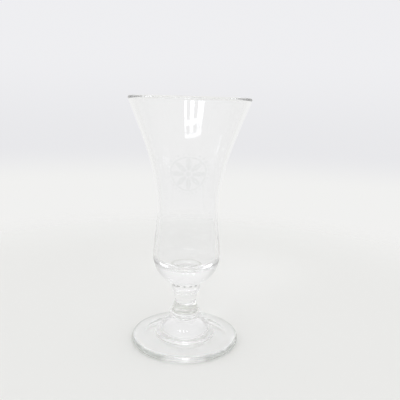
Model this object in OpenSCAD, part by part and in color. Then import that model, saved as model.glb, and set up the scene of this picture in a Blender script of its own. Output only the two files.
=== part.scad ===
// Footed shot glass in clear glass, made as gathers that are joined hot, one on top of the other.
// +Z is up, and the origin is the middle of the foot, on the surface that the glass stands on.

/* [Bowl] */
// Height of the bowl above its joint with the neck collar
bowl_h = 78.8; // [72:0.1:90]
// Diameter over the lip
rim_d = 50; // [42:0.5:58]
// Thickness of the rounded lip
lip_w = 1.8; // [1.2:0.1:2.6]
// Lean of the flare just below the lip, from upright, in degrees
flare_lean = 21; // [12:1:28]
// Length over which the flare straightens below the lip
flare_run = 18; // [12:0.5:24]
// Height over which the flare leaves the waist
flare_ease = 17; // [12:0.5:24]
// Diameter of the waist
waist_d = 25.4; // [23:0.1:27.6]
// Height of the waist above the joint
waist_up = 31.2; // [27:0.1:36]
// Diameter of the belly
belly_d = 28.4; // [26:0.1:32]
// Height of the belly above the joint
belly_up = 12.1; // [10:0.1:15]

/* [Cavity] */
// Wall of the bowl at the waist
waist_wall = 1; // [0.8:0.05:1.8]
// Wall of the bowl at the top of the cavity's corner, near the belly
belly_wall = 1.4; // [1.1:0.05:2.4]
// Thickness of the solid glass under the cavity
floor_w = 7.9; // [6.6:0.1:10]
// Diameter of the flat middle of the cavity's floor
floor_d = 13.6; // [9:0.2:17]
// Height of the rounded corner round the cavity's floor
corner_h = 4.5; // [3:0.1:8]

/* [Neck collar] */
// Diameter of the joint between the bowl and the collar
collar_d = 12.6; // [11:0.1:15]
// Height of the collar
collar_h = 4.4; // [3:0.1:6]

/* [Stem] */
// Height of the stem between the collar and the ring
stem_h = 8.5; // [7:0.1:12]
// Diameter of the stem at the collar
stem_top_d = 10.1; // [9.4:0.1:10.8]
// Diameter of the stem at its waist
stem_waist_d = 9.2; // [8:0.1:9.8]
// Depth of the stem's waist below the collar
stem_waist_down = 4.3; // [2:0.1:5]
// Diameter of the stem at the ring
stem_foot_d = 12.2; // [10.4:0.1:13.6]

/* [Stem ring] */
// Height of the ring
ring_h = 2.8; // [1.8:0.1:3.6]
// How far the ring stands out from the stem's foot
ring_out = 0.75; // [0.4:0.05:1.2]

/* [Foot boss] */
// Height of the boss between the foot's pad and the ring
boss_h = 6.4; // [5:0.1:8]
// Diameter of the boss where it is fullest
boss_d = 21.8; // [18:0.1:25]
// Height of the fullest place above the pad
boss_full_up = 1.2; // [0.6:0.1:2.4]
// How far the boss tucks in below its fullest place
boss_tuck = 0.4; // [0.1:0.05:0.8]

/* [Foot disc] */
// Diameter over the foot
foot_d = 46.4; // [38:0.2:54]
// Thickness of the foot's rounded edge
edge_h = 2.6; // [1.8:0.1:3.6]
// Thickness of the disc where it meets the raised pad
disc_h = 3; // [2.2:0.1:3.8]
// Height of the raised pad above the disc
pad_h = 1.1; // [0.8:0.05:2]
// Width of the pad's ledge round the boss
pad_ledge = 1.9; // [1:0.1:3]
// Radius of the pad's shoulder, and of the cove at its foot
pad_round = 0.45; // [0.1:0.05:0.7]
// Width of the flat ring that the glass rests on
rest_w = 3.4; // [2:0.1:5]
// Depth of the hollow under the foot, at its middle
hollow_h = 1.9; // [1:0.1:2.4]

/* [Hidden] */
$fn = 96;
glass = [0.86, 0.93, 0.94, 0.4];
joint_glass = [0.78, 0.87, 0.9, 0.5];

// Heights of the joints above the table, each one on top of the last
pad_z = disc_h + pad_h;
ring_z = pad_z + boss_h;
stem_z = ring_z + ring_h;
collar_z = stem_z + stem_h;
bowl_z = collar_z + collar_h;

// Number of steps in a long curve, in a short one and in a small rounding
long_steps = 18;
short_steps = 10;
round_steps = 6;

// Points along an arc of an ellipse. mid is its centre, size its two half-axes,
// and the arc runs from angle a to angle b.
function oval(mid, size, a, b, steps) = [
    for (i = [0 : steps])
        let (t = a + (b - a) * i / steps)
            [mid.x + size.x * cos(t), mid.y + size.y * sin(t)]
];

// Points along a cubic Bezier curve with four control points
function bezier(p, steps) = [
    for (i = [0 : steps])
        let (t = i / steps, u = 1 - t)
            u * u * u * p[0] + 3 * u * u * t * p[1] + 3 * u * t * t * p[2] + t * t * t * p[3]
];

// Points along a wave that leaves a and meets b upright, as a cosine does
function wave(a, b, steps) = [
    for (i = [0 : steps])
        let (t = i / steps)
            [a.x + (b.x - a.x) * (1 - cos(180 * t)) / 2, a.y + (b.y - a.y) * t]
];

// A list of points without its first one, for joining it to the curve before
function after_first(points) = [for (i = [1 : len(points) - 1]) points[i]];

// The flare from the waist to the lip: upright at the waist, and leaning by flare_lean at the top
function flare(waist, top) = bezier([
    waist,
    waist + [0, flare_ease],
    top - flare_run * [sin(flare_lean), cos(flare_lean)],
    top
], long_steps);

// The lip is a half round over the wall. lip_out goes from its centre square across the wall,
// to the wall's outer face.
lip_r = lip_w / 2;
lip_mid = [rim_d / 2 - lip_r, bowl_h - lip_r];
lip_out = lip_r * [cos(flare_lean), -sin(flare_lean)];
function lip() = oval(lip_mid, [lip_r, lip_r], -flare_lean, 180 - flare_lean, short_steps);

// The outside of the bowl, from the joint up to the lip. The rounded bottom is part of an ellipse
// that is fullest at the belly and passes through the edge of the joint.
function bowl_outside() =
    let (
        joint_angle = acos(collar_d / belly_d),
        drop = belly_up / sin(joint_angle),
        belly = [belly_d / 2, belly_up],
        waist = [waist_d / 2, waist_up]
    )
    concat(
        oval([0, belly_up], [belly_d / 2, drop], -joint_angle, 0, long_steps),
        after_first(wave(belly, waist, short_steps)),
        after_first(flare(waist, lip_mid + lip_out))
    );

// The inside of the bowl, from the edge of the cavity's flat floor up to the lip
function bowl_inside() =
    let (
        floor_r = floor_d / 2,
        waist = [waist_d / 2 - waist_wall, waist_up],
        well = [belly_d / 2 - belly_wall, floor_w + corner_h]
    )
    concat(
        oval([floor_r, well.y], [well.x - floor_r, corner_h], -90, 0, short_steps),
        after_first(wave(well, waist, short_steps)),
        after_first(flare(waist, lip_mid - lip_out))
    );

// The same points the other way round
function reversed(points) = [for (i = [len(points) - 1 : -1 : 0]) points[i]];

// A solid turned round the Z axis from an outline that starts and ends on the axis
module turned(side, low, high) {
    rotate_extrude() polygon(concat([[0, low]], side, [[0, high]]));
}

module bowl() {
    color(glass) translate([0, 0, bowl_z]) turned(
        concat(bowl_outside(), after_first(lip()), after_first(reversed(bowl_inside()))),
        0,
        floor_w
    );
}

// The collar is a cushion: upright at the bowl, and rounded in under itself to the stem
module neck_collar() {
    stem_r = stem_top_d / 2;
    reach = collar_d / 2 - stem_r;
    color(joint_glass) translate([0, 0, collar_z]) turned(
        oval([stem_r, collar_h], [reach, collar_h], -90, 0, short_steps),
        0,
        collar_h
    );
}

// The stem spreads in a straight cone from its waist down to the ring
module stem() {
    waist = [stem_waist_d / 2, stem_h - stem_waist_down];
    top_side = wave(waist, [stem_top_d / 2, stem_h], round_steps);
    color(glass) translate([0, 0, stem_z]) turned(concat([[stem_foot_d / 2, 0]], top_side), 0, stem_h);
}

module stem_ring() {
    color(joint_glass) translate([0, 0, ring_z]) turned(
        oval([stem_foot_d / 2, ring_h / 2], [ring_out, ring_h / 2], -90, 90, short_steps),
        0,
        ring_h
    );
}

// The boss is a dome under the ring, part of an ellipse, that tucks in a little where it sits on the pad
module foot_boss() {
    full_r = boss_d / 2;
    top_angle = acos(stem_foot_d / boss_d);
    dome_h = (boss_h - boss_full_up) / sin(top_angle);
    tuck_side = oval([full_r - boss_tuck, boss_full_up], [boss_tuck, boss_full_up], -90, 0, round_steps);
    dome_side = oval([0, boss_full_up], [full_r, dome_h], 0, top_angle, long_steps);
    color(glass) translate([0, 0, pad_z]) turned(concat(tuck_side, after_first(dome_side)), 0, boss_h);
}

// The foot rests on a flat ring inside its rounded edge, round a domed hollow
module foot_disc() {
    edge_r = edge_h / 2;
    edge_mid = [foot_d / 2 - edge_r, edge_r];
    pad_r = boss_d / 2 + pad_ledge;
    hollow_r = edge_mid.x - rest_w;
    rounding = min(pad_round, 0.45 * pad_h);
    hollow_side = [
        for (i = [1 : short_steps])
            let (t = i / short_steps)
                [hollow_r * t, hollow_h * (1 - t * t)]
    ];
    cove = oval([pad_r, disc_h] + rounding * [1, 1], rounding * [1, 1], 270, 180, round_steps);
    shoulder = oval([pad_r, pad_z] - rounding * [1, 1], rounding * [1, 1], 0, 90, round_steps);
    color(glass) turned(
        concat(hollow_side, oval(edge_mid, [edge_r, edge_r], -90, 90, short_steps), cove, shoulder),
        hollow_h,
        pad_z
    );
}

bowl();
neck_collar();
stem();
stem_ring();
foot_boss();
foot_disc();
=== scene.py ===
import bpy
import numpy as np
from mathutils import Matrix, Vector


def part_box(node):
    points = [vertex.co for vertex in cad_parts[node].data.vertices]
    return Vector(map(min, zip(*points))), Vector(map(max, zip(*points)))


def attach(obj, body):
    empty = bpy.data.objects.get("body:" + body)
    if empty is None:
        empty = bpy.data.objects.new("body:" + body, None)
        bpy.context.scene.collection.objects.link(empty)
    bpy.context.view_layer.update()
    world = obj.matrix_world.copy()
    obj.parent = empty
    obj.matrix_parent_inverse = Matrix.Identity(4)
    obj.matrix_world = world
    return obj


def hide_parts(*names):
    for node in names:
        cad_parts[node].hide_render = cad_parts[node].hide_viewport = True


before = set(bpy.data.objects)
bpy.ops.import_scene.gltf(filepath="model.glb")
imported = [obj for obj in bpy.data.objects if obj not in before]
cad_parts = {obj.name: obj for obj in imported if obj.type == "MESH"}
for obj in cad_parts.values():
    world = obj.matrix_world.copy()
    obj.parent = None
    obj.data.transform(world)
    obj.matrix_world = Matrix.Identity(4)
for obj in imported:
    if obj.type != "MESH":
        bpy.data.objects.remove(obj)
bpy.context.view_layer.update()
print("frame loaded")

mm = 0.001
around = 256  # faces round each turned piece
faceSteps = 6  # rings across a flat face
tiny = 1e-6  # points and levels that are closer than this are the same
upright = 0.999  # the least upward part of a flat face's normal
sharpAngle = np.radians(40)  # edges that turn by more than this stay sharp


# Shader maths

class Wire:
    # A socket in a node tree. Arithmetic on it adds Math nodes, and node() adds any other node.
    def __init__(self, tree, socket=None):
        self.tree, self.socket = tree, socket

    def node(self, kind, settings=None, inputs=None, output=0):
        made = self.tree.nodes.new(kind)
        for name, value in (settings or {}).items():
            if name == "stops":
                ramp = made.color_ramp.elements
                while len(ramp) < len(value):
                    ramp.new(0.5)
                for stop, (at, colour) in zip(ramp, value):
                    stop.position, stop.color = at, (*colour, 1.0)
            else:
                setattr(made, name, value)
        for name, value in (inputs or {}).items():
            if isinstance(value, Wire):
                self.tree.links.new(value.socket, made.inputs[name])
            else:
                made.inputs[name].default_value = value
        return Wire(self.tree, made.outputs[output]) if made.outputs else made

    def out(self, name):
        return Wire(self.tree, self.socket.node.outputs[name])

    def maths(self, operation, *others):
        values = dict(enumerate((self, *others)))
        return self.node("ShaderNodeMath", {"operation": operation}, values)

    def __add__(self, other):
        return self.maths("ADD", other)

    def __sub__(self, other):
        return self.maths("SUBTRACT", other)

    def __mul__(self, other):
        return self.maths("MULTIPLY", other)

    def __truediv__(self, other):
        return self.maths("DIVIDE", other)

    def __rsub__(self, other):
        return self.node("ShaderNodeMath", {"operation": "SUBTRACT"}, {0: other, 1: self})

    __radd__, __rmul__ = __add__, __mul__

    def between(self, low, high):
        # 0 below low and 1 above high, with a smooth step between them
        settings = {"interpolation_type": "SMOOTHSTEP"}
        inputs = {"Value": self, "From Min": low, "From Max": high}
        return self.node("ShaderNodeMapRange", settings, inputs)

    def band(self, low, high, soft):
        # 1 from low to high, fading out over soft at both ends
        return self.between(low - soft, low) * (1 - self.between(high, high + soft))


def shaderTree(owner):
    owner.use_nodes = True
    owner.node_tree.nodes.clear()
    return Wire(owner.node_tree)


def shade(tree, share, low, high):
    # a mix of low and high, each of them a colour or a socket
    low, high = (c if isinstance(c, Wire) else (*c, 1.0) for c in (low, high))
    return tree.node("ShaderNodeMix", {"data_type": "RGBA"}, {0: share, 6: low, 7: high}, 2)


def ownPlace(tree):
    # the piece's own coordinates, in metres
    return tree.node("ShaderNodeTexCoord", output=3)


def fromOutside(tree):
    # 1 where a ray meets the glass from outside, and 0 where it meets it from inside
    return 1 - tree.node("ShaderNodeNewGeometry", output=6)


# Shapes

def oval(middle, size, start, end, steps):
    # an arc of an ellipse: the middle plus the half-axes times the cosine and sine of a turning angle
    t = np.radians(np.linspace(start, end, steps + 1))
    return np.stack([middle[0] + size[0] * np.cos(t), middle[1] + size[1] * np.sin(t)], 1)


def wave(start, end, steps):
    # leaves start and meets end upright: the radius follows half a cosine as the height rises evenly
    t = np.linspace(0, 1, steps + 1)
    radius = start[0] + (end[0] - start[0]) * (1 - np.cos(np.pi * t)) / 2
    return np.stack([radius, start[1] + (end[1] - start[1]) * t], 1)


def flareCurve(waist, top, ease, run, lean, steps):
    # a cubic Bezier curve, upright at the waist and leaning outwards at the top
    t = np.linspace(0, 1, steps + 1)[:, None]
    u = 1 - t
    pull = np.array([np.sin(lean), np.cos(lean)])
    low, high = waist + np.array([0, ease]), top - run * pull
    return u**3 * waist + 3 * u**2 * t * low + 3 * u * t**2 * high + t**3 * top


def joined(*curves):
    # curves end to end, with the points that they share kept once
    line = np.concatenate(curves)
    keep = np.r_[True, np.linalg.norm(np.diff(line, axis=0), axis=1) > tiny]
    return line[keep]


def straight(start, end, steps):
    # a straight stretch of an outline, in even steps
    t = np.linspace(0, 1, steps + 1)[:, None]
    return np.array(start) * (1 - t) + np.array(end) * t


def turned(name, outline, floorZ, welds=()):
    # Carries an outline of radius and height, in mm, round the Z axis: x = r sin(a), y = -r cos(a).
    # It starts and ends on the axis, where the first and last rings close to a single point.
    # welds are the heights and radii of flat joint faces, which take the second material.
    r, z = outline[1:-1, 0], outline[1:-1, 1] + floorZ
    a = np.linspace(0, 2 * np.pi, around, endpoint=False)
    ring = np.stack([np.sin(a), -np.cos(a), np.zeros(around)], 1)
    up = np.array([0, 0, 1.0])
    body = r[:, None, None] * ring[None] + z[:, None, None] * up
    ends = (outline[[0, -1], 1] + floorZ)[:, None] * up
    points = np.concatenate([body.reshape(-1, 3), ends]) * mm
    rings = len(r)
    i = np.arange(rings - 1)[:, None] * around
    j, k = np.arange(around), (np.arange(around) + 1) % around
    quads = np.stack([i + j, i + k, i + around + k, i + around + j], 2).reshape(-1, 4)
    low, high, last = rings * around, rings * around + 1, (rings - 1) * around
    fans = np.concatenate([
        np.stack([np.full(around, low), k, j], 1),
        np.stack([np.full(around, high), last + j, last + k], 1),
    ])
    mesh = bpy.data.meshes.new(name)
    mesh.from_pydata(points.tolist(), [], quads.tolist() + fans.tolist())
    mesh.shade_smooth()
    mesh.set_sharp_from_angle(angle=sharpAngle)
    flat = np.zeros(len(mesh.polygons), int)
    centres = np.empty(len(mesh.polygons) * 3)
    mesh.polygons.foreach_get("center", centres)
    normals = np.empty(len(mesh.polygons) * 3)
    mesh.polygons.foreach_get("normal", normals)
    level, facing = centres.reshape(-1, 3)[:, 2], np.abs(normals.reshape(-1, 3)[:, 2])
    reach = np.hypot(*centres.reshape(-1, 3)[:, :2].T)
    for height, radius in welds:
        onIt = (np.abs(level - height * mm) < tiny) & (facing > upright) & (reach < radius * mm)
        flat[onIt] = 1
    mesh.polygons.foreach_set("material_index", flat)
    piece = bpy.data.objects.new(name, mesh)
    bpy.context.scene.collection.objects.link(piece)
    return piece


def place(node):
    # a node's lowest and highest levels and its largest radius, in mm
    low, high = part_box(node)
    return low[2] / mm, high[2] / mm, high[0] / mm


# Glass

glassLook = {
    "tint": (0.986, 0.987, 0.990),
    "ior": 1.5,
    "waveSize": 90.0,  # ripples to a metre of the noise's own size
    "waveDepth": 0.00002,
    "waveDetail": 1.0,
    "waveRoughness": 0.4,
}


def rippled(tree, look):
    # the slow ripples of hot-worked glass, as a bump
    noise = tree.node("ShaderNodeTexNoise", {}, {
        "Vector": ownPlace(tree),
        "Scale": look["waveSize"],
        "Detail": look["waveDetail"],
        "Roughness": look["waveRoughness"],
    })
    return tree.node("ShaderNodeBump", {}, {
        "Strength": 1.0, "Distance": look["waveDepth"], "Height": noise})


def glassMaterial(name, look, mask=None, veilAndPaintedShade=None, frost=0.0):
    # where the mask is 1 the glass has the given colour (the rosette's etched veil, and on the other
    # tinted glasses a painted shade) and the roughness of the frost
    made = bpy.data.materials.new(name)
    tree = shaderTree(made)
    share = mask(tree) if mask else None
    shader = tree.node("ShaderNodeBsdfPrincipled", {}, {
        "Base Color": shade(tree, share, look["tint"], veilAndPaintedShade) if mask else (*look["tint"], 1.0),
        "Roughness": share * frost if frost else 0.0,
        "IOR": look["ior"],
        "Transmission Weight": 1.0,
        "Normal": rippled(tree, look),
    })
    tree.node("ShaderNodeOutputMaterial", {}, {"Surface": shader})
    return made


def weldMaterial():
    # inside the fused glass there is no surface to see
    made = bpy.data.materials.new("weldFace")
    tree = shaderTree(made)
    shader = tree.node("ShaderNodeBsdfPrincipled", {}, {"Alpha": 0.0, "Roughness": 0.0, "IOR": 1.0})
    tree.node("ShaderNodeOutputMaterial", {}, {"Surface": shader})
    return made


rosetteLook = {
    "up": 75.7,  # height of its middle
    "girth": 14.4,  # radius of the bowl there
    "petals": 8,
    "petalMiddle": 3.9,
    "petalHalf": (2.5, 1.0),
    "ring": (6.5, 6.9),
    "beads": 28,
    "beadRing": 7.9,
    "bead": 0.38,
    "heart": 0.9,
    "soft": 0.12,
    "frost": 0.22,
    "veilAndPaintedShade": (0.9, 0.91, 0.91),
}


def etched(tree):
    # 1 on a rosette on the front of the bowl. Across it is the angle round the axis times the girth,
    # and up it is the height.
    s = rosetteLook
    parts = tree.node("ShaderNodeSeparateXYZ", {}, {0: ownPlace(tree)})
    across = parts.out("X").maths("ARCTAN2", parts.out("Y") * -1.0) * s["girth"]
    rise = parts.out("Z") * (1 / mm) - s["up"]
    reach = (across * across + rise * rise).maths("SQRT")
    angle = rise.maths("ARCTAN2", across)

    def spot(count, middle, half):
        # a ring of count ellipses: 1 inside them and 0 outside
        turn = angle.maths("PINGPONG", np.pi / count)
        out = (reach * turn.maths("COSINE") - middle) / half[0]
        side = reach * turn.maths("SINE") / half[1]
        edge = 2 * s["soft"] / half[1]
        return 1 - (out * out + side * side).between(1 - edge, 1 + edge)

    petals = spot(s["petals"], s["petalMiddle"], s["petalHalf"])
    beads = spot(s["beads"], s["beadRing"], (s["bead"], s["bead"]))
    ring = reach.band(*s["ring"], s["soft"])
    heart = 1 - reach.between(s["heart"], s["heart"] + s["soft"])
    return petals.maths("MAXIMUM", beads).maths("MAXIMUM", ring).maths("MAXIMUM", heart)


def roundPlace(tree):
    # distance from the axis and height, in mm, and the angle from the front, in degrees
    parts = tree.node("ShaderNodeSeparateXYZ", {}, {0: ownPlace(tree)})
    x, y = parts.out("X"), parts.out("Y")
    reach = (x * x + y * y).maths("SQRT") * (1 / mm)
    return reach, parts.out("Z") * (1 / mm), x.maths("ARCTAN2", y * -1.0) * (180 / np.pi)


# Painted shade on the foot's rounded edge: a greenish grey, cleared in front, shown only on rays that
# meet the glass from outside
edgeShadeLook = {
    "reach": (21.6, 22.4),
    "level": (2.1, 2.6),
    "front": 16.0,  # degrees each way of the front
    "soft": 10.0,
    "clear": 0.8,
    "colour": (0.5, 0.53, 0.5),
}


def paintedEdgeShade(tree):
    s = edgeShadeLook
    reach, height, angle = roundPlace(tree)
    edge = reach.between(*s["reach"]) * (1 - height.between(*s["level"]))
    front = s["clear"] * angle.band(-s["front"], s["front"], s["soft"])
    return edge * fromOutside(tree) * (1 - front)


# Painted shade: an olive ring at the edge of the cavity's floor, darkening the corner of the recess
cavityShadeLook = {
    "ring": (5.9, 6.6),
    "soft": 0.4,
    "colour": (0.7, 0.71, 0.66),
}


def paintedCavityShade(tree):
    return roundPlace(tree)[0].band(*cavityShadeLook["ring"], cavityShadeLook["soft"])


# Painted shade: a grey on the cone of the stem, above the ring, shown only on rays that meet the glass
# from outside
coneShadeLook = {
    "up": 17.5,
    "soft": 0.4,
    "colour": (0.74, 0.75, 0.71),
}


def paintedConeShade(tree):
    s = coneShadeLook
    return (1 - roundPlace(tree)[1].between(s["up"] - s["soft"], s["up"])) * fromOutside(tree)


# Painted shade at the joint under the bowl: a dark line along the top of the collar, broken into dots,
# where the crease between the parts looks dark
jointShadeLook = {
    "depth": 0.8,
    "grain": 600.0,
    "share": (0.47, 0.54),
    "colour": (0.3, 0.31, 0.3),
}


def paintedJointShade(tree):
    s = jointShadeLook
    joint = place("bowl")[0]
    noise = tree.node("ShaderNodeTexNoise", {}, {
        "Vector": ownPlace(tree), "Scale": s["grain"], "Detail": 0.0})
    line = roundPlace(tree)[1].between(joint - s["depth"], joint - s["depth"] / 2)
    return line * noise.between(*s["share"])


clearGlass = glassMaterial("clearGlass", glassLook)
etchedGlass = glassMaterial("etchedGlass", glassLook, etched, rosetteLook["veilAndPaintedShade"], rosetteLook["frost"])
edgeShadeGlass = glassMaterial("edgeShadeGlass", glassLook, paintedEdgeShade, edgeShadeLook["colour"])
cavityShadeGlass = glassMaterial("cavityShadeGlass", glassLook, paintedCavityShade, cavityShadeLook["colour"])
coneShadeGlass = glassMaterial("coneShadeGlass", glassLook, paintedConeShade, coneShadeLook["colour"])
jointShadeGlass = glassMaterial("jointShadeGlass", glassLook, paintedJointShade, jointShadeLook["colour"])
weldFace = weldMaterial()


def dress(piece, node, glass):
    piece.data.materials.append(glass)
    piece.data.materials.append(weldFace)
    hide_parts(node)
    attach(piece, "root")
    print(piece.name, len(piece.data.polygons), "faces")


# Bowl

bowlShape = {
    "lip": 1.8,
    "lean": np.radians(21),
    "run": 18.0,
    "ease": 17.0,
    "waist": 12.7,
    "waistUp": 31.2,
    "belly": 14.2,
    "bellyUp": 12.1,
    "wall": 1.0,
    "floor": 7.9,
    "floorRadius": 6.8,
    "corner": 4.5,
    "well": 12.8,
    "etchFrom": 66.5,  # this height and the next are above the table
    "etchTo": 85.0,
    "bottomSteps": 50,
    "bellySteps": 40,
    "flareSteps": 60,
    "lipSteps": 18,
    "cornerSteps": 32,
    "wellSteps": 20,
}


def makeBowl(s):
    low, high, rim = place("bowl")
    joint = place("neck_collar")[2]
    tall = high - low
    across = s["lip"] / 2 * np.array([np.cos(s["lean"]), -np.sin(s["lean"])])
    lipMiddle = np.array([rim, tall]) - s["lip"] / 2
    angle = np.degrees(np.arccos(joint / s["belly"]))
    drop = s["bellyUp"] / np.sin(np.radians(angle))
    waist = np.array([s["waist"], s["waistUp"]])
    inner = waist - np.array([s["wall"], 0])
    well = np.array([s["well"], s["floor"] + s["corner"]])
    outside = joined(
        oval((0, s["bellyUp"]), (s["belly"], drop), -angle, 0, s["bottomSteps"]),
        wave((s["belly"], s["bellyUp"]), waist, s["bellySteps"]),
        flareCurve(waist, lipMiddle + across, s["ease"], s["run"], s["lean"], s["flareSteps"]),
    )
    tilt = np.degrees(s["lean"])
    lip = oval(lipMiddle, (s["lip"] / 2, s["lip"] / 2), -tilt, 180 - tilt, s["lipSteps"])
    turn = (well[0] - s["floorRadius"], s["corner"])
    inside = joined(
        oval((s["floorRadius"], well[1]), turn, -90, 0, s["cornerSteps"]),
        wave(well, inner, s["wellSteps"]),
        flareCurve(inner, lipMiddle - across, s["ease"], s["run"], s["lean"], s["flareSteps"]),
    )
    line = joined(
        straight((0, 0), (joint, 0), faceSteps),
        outside,
        lip,
        inside[::-1],
        straight((s["floorRadius"], s["floor"]), (0, s["floor"]), faceSteps),
    )
    piece = turned("bowl_glass", line, low, [(low, joint)])
    # the outside of the flare, where the rosette is, takes the third material,
    # and the corner and floor of the cavity take the fourth, which paints a shaded olive ring there
    ringZ = (line[1:-2, 1] + line[2:-1, 1]) / 2 + low
    start = faceSteps + len(outside)
    etch = (ringZ > s["etchFrom"]) & (ringZ < s["etchTo"]) & (np.arange(len(ringZ)) < start)
    index = np.zeros(len(piece.data.polygons), int)
    piece.data.polygons.foreach_get("material_index", index)
    corner = (ringZ < low + well[1]) & (np.arange(len(ringZ)) > start)
    index[:len(ringZ) * around][np.repeat(etch, around)] = 2
    index[:len(ringZ) * around][np.repeat(corner, around)] = 3
    piece.data.polygons.foreach_set("material_index", index)
    return piece


bowl = makeBowl(bowlShape)
dress(bowl, "bowl", clearGlass)
bowl.data.materials.append(etchedGlass)
bowl.data.materials.append(cavityShadeGlass)

# Collar, stem and ring

stemShape = {
    "waist": 4.6,
    "waistDown": 4.3,
    "top": 5.05,
    "foot": 6.1,
    "coneSteps": 24,
    "topSteps": 16,
    "roundSteps": 32,
}


def makeCollar(s):
    low, high, radius = place("neck_collar")
    tall = high - low
    line = joined(
        straight((0, 0), (s["top"], 0), faceSteps),
        oval((s["top"], tall), (radius - s["top"], tall), -90, 0, s["roundSteps"]),
        straight((radius, tall), (0, tall), faceSteps),
    )
    return turned("collar_glass", line, low, [(low, s["top"]), (high, radius)])


def makeStem(s):
    low, high = place("stem")[:2]
    tall = high - low
    waistUp = tall - s["waistDown"]
    line = joined(
        straight((0, 0), (s["foot"], 0), faceSteps),
        straight((s["foot"], 0), (s["waist"], waistUp), s["coneSteps"]),
        wave((s["waist"], waistUp), (s["top"], tall), s["topSteps"]),
        straight((s["top"], tall), (0, tall), faceSteps),
    )
    return turned("stem_glass", line, low, [(low, s["foot"]), (high, s["top"])])


def makeRing(s):
    low, high, radius = place("stem_ring")
    tall = high - low
    line = joined(
        straight((0, 0), (s["foot"], 0), faceSteps),
        oval((s["foot"], tall / 2), (radius - s["foot"], tall / 2), -90, 90, s["roundSteps"]),
        straight((s["foot"], tall), (0, tall), faceSteps),
    )
    return turned("ring_glass", line, low, [(low, s["foot"]), (high, s["foot"])])


# the collar carries the painted shade line at the joint
dress(makeCollar(stemShape), "neck_collar", jointShadeGlass)
# the stem carries the painted shade on its cone
dress(makeStem(stemShape), "stem", coneShadeGlass)
dress(makeRing(stemShape), "stem_ring", clearGlass)

# Foot

footShape = {
    "fullUp": 1.2,
    "tuck": 0.4,
    "edge": 2.6,
    "disc": 3.0,
    "ledge": 1.9,
    "rounding": 0.45,
    "rest": 3.4,
    "hollow": 1.9,
    "flatSteps": 8,
    "tuckSteps": 14,
    "domeSteps": 50,
    "edgeSteps": 32,
    "roundingSteps": 8,
    "hollowSteps": 30,
}


def makeBoss(s, top):
    low, high, radius = place("foot_boss")
    tall = high - low
    angle = np.degrees(np.arccos(top / radius))
    dome = (tall - s["fullUp"]) / np.sin(np.radians(angle))
    base = radius - s["tuck"]
    line = joined(
        straight((0, 0), (base, 0), s["flatSteps"]),
        oval((base, s["fullUp"]), (s["tuck"], s["fullUp"]), -90, 0, s["tuckSteps"]),
        oval((0, s["fullUp"]), (radius, dome), 0, angle, s["domeSteps"]),
        straight((top, tall), (0, tall), faceSteps),
    )
    return turned("boss_glass", line, low, [(low, base), (high, top)])


def makeDisc(s):
    low, high, radius = place("foot_disc")
    boss = place("foot_boss")[2]
    edge = s["edge"] / 2
    edgeMiddle = np.array([radius - edge, edge])
    pad = boss + s["ledge"]
    hollowRadius = edgeMiddle[0] - s["rest"]
    t = np.linspace(0, 1, s["hollowSteps"] + 1)
    hollow = np.stack([hollowRadius * t, s["hollow"] * (1 - t * t)], 1)
    r = s["rounding"]
    line = joined(
        hollow,
        oval(edgeMiddle, (edge, edge), -90, 90, s["edgeSteps"]),
        oval((pad + r, s["disc"] + r), (r, r), 270, 180, s["roundingSteps"]),
        oval((pad - r, high - r), (r, r), 0, 90, s["roundingSteps"]),
        straight((boss - s["tuck"], high), (0, high), s["flatSteps"]),
    )
    return turned("disc_glass", line, low, [(high, boss - s["tuck"])])


dress(makeBoss(footShape, stemShape["foot"]), "foot_boss", clearGlass)
# the disc carries the painted shade on its rounded edge
dress(makeDisc(footShape), "foot_disc", edgeShadeGlass)

# Floor

floorLook = {
    "sides": 96,
    "radius": 0.5,
    "gap": 0.0001,  # below the foot, which would show a black ring if it touched
    "colour": (0.83, 0.83, 0.815),
    "fadeFrom": 0.13,
    "fadeTo": 0.26,
    "nearFrom": -0.11,
    "nearTo": -0.05,
}


def makeFloor(s):
    a = np.linspace(0, 2 * np.pi, s["sides"], endpoint=False)
    points = np.stack([np.cos(a), np.sin(a), np.zeros(s["sides"])], 1) * s["radius"]
    mesh = bpy.data.meshes.new("floor")
    mesh.from_pydata(points.tolist(), [], [list(range(s["sides"]))])
    made = bpy.data.materials.new("floorPaint")
    tree = shaderTree(made)
    where = ownPlace(tree)
    apart = tree.node("ShaderNodeVectorMath", {"operation": "LENGTH"}, {0: where}, 1)
    parts = tree.node("ShaderNodeSeparateXYZ", {}, {0: where})
    fade = apart.between(s["fadeFrom"], s["fadeTo"])
    near = 1 - parts.out("Y").between(s["nearFrom"], s["nearTo"])
    fade = fade.maths("MAXIMUM", near)
    paint = tree.node("ShaderNodeBsdfDiffuse", {}, {"Color": (*s["colour"], 1.0)})
    clear = tree.node("ShaderNodeBsdfTransparent")
    mixed = tree.node("ShaderNodeMixShader", {}, {0: fade, 1: paint, 2: clear})
    tree.node("ShaderNodeOutputMaterial", {}, {"Surface": mixed})
    mesh.materials.append(made)
    floor = bpy.data.objects.new("floor", mesh)
    floor.location.z = -s["gap"]
    bpy.context.scene.collection.objects.link(floor)


makeFloor(floorLook)

# Surroundings

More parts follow.
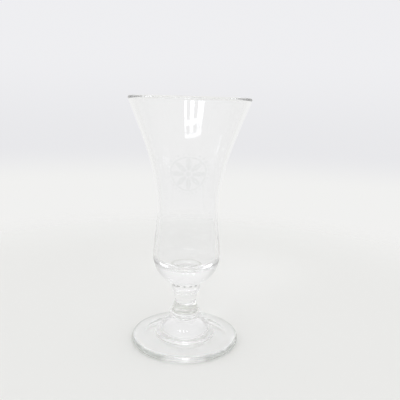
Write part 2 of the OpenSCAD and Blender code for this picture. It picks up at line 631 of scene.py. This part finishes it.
# Directions are in degrees, up from the horizon and across from the front. The borders of the walls
# behind and ahead are the Y part of a direction.
studio = {
    "light": 1.0,
    "table": (0.88, 0.88, 0.87),
    "strip": (0.81, 0.81, 0.83),
    "wall": (0.86, 0.86, 0.88),
    "stripUp": (-10.0, -6.0),
    "wallUp": (-6.0, 4.0),
    "levels": (-15, 10, 60),  # where the greys of the walls are
    "back": (0.9, 0.9, 0.8),
    "sides": (0.8, 0.6, 1.0),
    "front": (0.8, 0.5, 0.5),
    "toneUp": (-22.0, -8.0),
    "lowTone": (1.0, 1.0, 0.98),
    "highTone": (0.995, 0.994, 0.99),
    "behindFrom": 0.5,
    "behindTo": 0.9,
    "aheadFrom": -0.97,
    "aheadTo": -0.8,
    "window": (5.5, 5.6, 5.8),
    "windowAcross": (-34.0, 13.0),
    "windowUp": (38.0, 53.0),
    "windowSoft": (2.0, 1.0),  # across and up
    "bars": (-16.0, 4.0),
    "bar": 4.0,
    "barSoft": 1.5,
    "sill": (36.8, 37.6),
    "sillSoft": 0.5,
}


def makeWorld(s):
    world = bpy.data.worlds.new("studio")
    bpy.context.scene.world = world
    tree = shaderTree(world)
    way = tree.node("ShaderNodeTexCoord", output=0)
    parts = tree.node("ShaderNodeSeparateXYZ", {}, {0: way})
    x, y, z = parts.out("X"), parts.out("Y"), parts.out("Z")
    elevation = z.maths("ARCSINE") * (180 / np.pi)
    azimuth = x.maths("ARCTAN2", y * -1.0) * (180 / np.pi)
    # what the camera sees: the table, a shaded strip at its far edge, and the wall above it
    seen = shade(tree, elevation.between(*s["stripUp"]), s["table"], s["strip"])
    seen = shade(tree, elevation.between(*s["wallUp"]), seen, s["wall"])
    # what the glass bends and mirrors
    height = tree.node("ShaderNodeMapRange", {}, {
        "Value": elevation, "From Min": -90.0, "From Max": 90.0})

    def wall(greys):
        stops = [((level + 90) / 180, [grey] * 3) for level, grey in zip(s["levels"], greys)]
        return tree.node("ShaderNodeValToRGB", {"stops": stops}, {0: height})

    room = shade(tree, 1 - y.between(s["aheadFrom"], s["aheadTo"]), wall(s["sides"]), wall(s["front"]))
    room = shade(tree, y.between(s["behindFrom"], s["behindTo"]), room, wall(s["back"]))
    tone = shade(tree, elevation.between(*s["toneUp"]), s["lowTone"], s["highTone"])
    room = tree.node("ShaderNodeVectorMath", {"operation": "MULTIPLY"}, {0: room, 1: tone})
    panes = elevation.band(*s["windowUp"], s["windowSoft"][1])
    for bar in s["bars"]:
        panes = panes * (1 - azimuth.band(bar - s["bar"], bar + s["bar"], s["barSoft"]))
    panes = panes.maths("MAXIMUM", elevation.band(*s["sill"], s["sillSoft"]))
    panes = panes * azimuth.band(*s["windowAcross"], s["windowSoft"][0])
    room = shade(tree, panes, room, s["window"])
    path = tree.node("ShaderNodeLightPath")
    bent = path.out("Is Glossy Ray").maths("MAXIMUM", path.out("Is Transmission Ray"))
    colour = shade(tree, bent, (s["light"], s["light"], s["light"]), room)
    colour = shade(tree, path.out("Is Camera Ray"), colour, seen)
    shader = tree.node("ShaderNodeBackground", {}, {"Color": colour, "Strength": 1.0})
    tree.node("ShaderNodeOutputWorld", {}, {"Surface": shader})


makeWorld(studio)
print("studio made")

# Camera

cameraSet = {
    "place": (0.0, -0.2114, 0.1071),
    "down": np.radians(11.92),
    "turn": np.radians(1.39),
    "roll": np.radians(1.65),
    "lens": 46.29,
    "sensor": 36.0,
    "clip": 0.01,
}


def makeCamera(s):
    data = bpy.data.cameras.new("camera")
    data.lens, data.sensor_width, data.clip_start = s["lens"], s["sensor"], s["clip"]
    level = np.cos(s["down"])
    ahead = np.array([np.sin(s["turn"]) * level, np.cos(s["turn"]) * level, -np.sin(s["down"])])
    right = np.array([np.cos(s["turn"]), -np.sin(s["turn"]), 0.0])
    up = np.cross(right, ahead)
    c, d = np.cos(s["roll"]), np.sin(s["roll"])
    axes = np.stack([c * right + d * up, c * up - d * right, -ahead], 1)
    camera = bpy.data.objects.new("camera", data)
    camera.matrix_world = Matrix.Translation(s["place"]) @ Matrix(axes.tolist()).to_4x4()
    bpy.context.scene.collection.objects.link(camera)
    bpy.context.scene.camera = camera


makeCamera(cameraSet)

bounces = {"glass": 64, "clear": 24}  # clear is for the weld faces and the floor's fade

scene = bpy.context.scene
scene.view_settings.view_transform = "Standard"
scene.cycles.blur_glossy = 0.0
scene.cycles.max_bounces = bounces["glass"]
scene.cycles.transmission_bounces = bounces["glass"]
scene.cycles.glossy_bounces = bounces["glass"]
scene.cycles.transparent_max_bounces = bounces["clear"]

print("scene ready")
